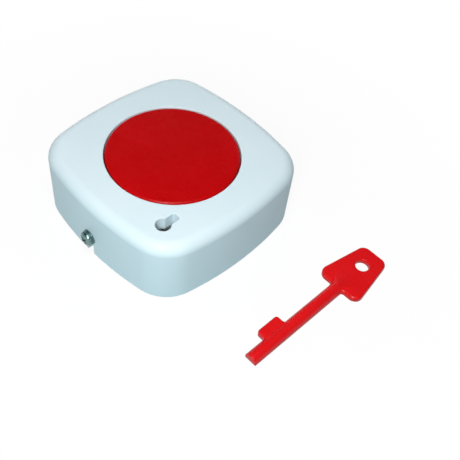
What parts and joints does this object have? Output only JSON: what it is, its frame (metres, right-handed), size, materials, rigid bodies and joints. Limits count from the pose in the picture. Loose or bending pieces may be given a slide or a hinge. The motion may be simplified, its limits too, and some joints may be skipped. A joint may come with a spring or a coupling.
{
  "type": "panic button",
  "caption": "Square white wall-mounted panic button with a latching round red push button, a keyhole for its reset key, and the loose red reset key beside it.",
  "frame": {"origin": "centre of the back face that lies on the wall", "axes": "+Z out of the button face, -Y the side with the cover screw, +X to the right of it"},
  "size_m": [0.1048, 0.0721, 0.024],
  "materials": {
    "cover_white": "satin",
    "base_white": "satin",
    "button_red": "satin",
    "key_red": "satin",
    "screw_steel": "plated",
    "zinc_steel": "zinc plated",
    "board_green": "solder mask",
    "switch_black": "matt",
    "tinned_brass": "tinned",
    "spring_steel": "bright",
    "plunger_red": "matt",
    "terminal_blue": "satin",
    "clamp_brass": "nickel free",
    "latch_white": "satin"
  },
  "bodies": {
    "housing": {"cover": "cover_white", "base_plate": "base_white", "cover_screw": "screw_steel", "cover_screw_washer": "screw_steel", "cover_screw_nut": "zinc_steel", "board_screws": "zinc_steel", "latch_guide_screws": "zinc_steel", "terminal_screws": "zinc_steel", "lever_pin": "zinc_steel", "circuit_board": "board_green", "switch_case": "switch_black", "switch_pins": "tinned_brass", "return_springs": "spring_steel", "latch_spring": "spring_steel", "terminal_block": "terminal_blue", "terminal_clamps": "clamp_brass"},
    "button": {"push_button": "button_red"},
    "latch": {"latch_slide": "latch_white"},
    "lever": {"switch_lever": "spring_steel"},
    "plunger": {"switch_plunger": "plunger_red"},
    "key": {"reset_key": "key_red"}
  },
  "joints": [
    {"name": "button_press", "type": "slide", "parent": "housing", "child": "button", "axis": [0, 0, -1], "range_m": [0, 0.003], "stiffness_N_per_m": 1000, "springref_m": -0.009, "deforming": ["return_springs", "latch_spring"]},
    {"name": "latch_travel", "type": "slide", "parent": "housing", "child": "latch", "axis": [-1, 0, 0], "range_m": [0, 0.002]},
    {"name": "lever_swing", "type": "hinge", "parent": "housing", "child": "lever", "pos_m": [0, -0.0065, 0.01635], "axis": [-1, 0, 0], "range_deg": [0, 11.2]},
    {"name": "plunger_press", "type": "slide", "parent": "housing", "child": "plunger", "axis": [0, 0, -1], "range_m": [0, 0.001]},
    {"name": "key_lift", "type": "slide", "parent": "housing", "child": "key", "axis": [0, 0, 1], "range_m": [0, 0.05]}
  ],
  "couplings": [
    {"joint": "latch_travel", "follows": "button_press", "ratio": 0.66666},
    {"joint": "lever_swing", "follows": "button_press", "rad_per_m": 64.926},
    {"joint": "plunger_press", "follows": "button_press", "ratio": 0.32258}
  ]
}
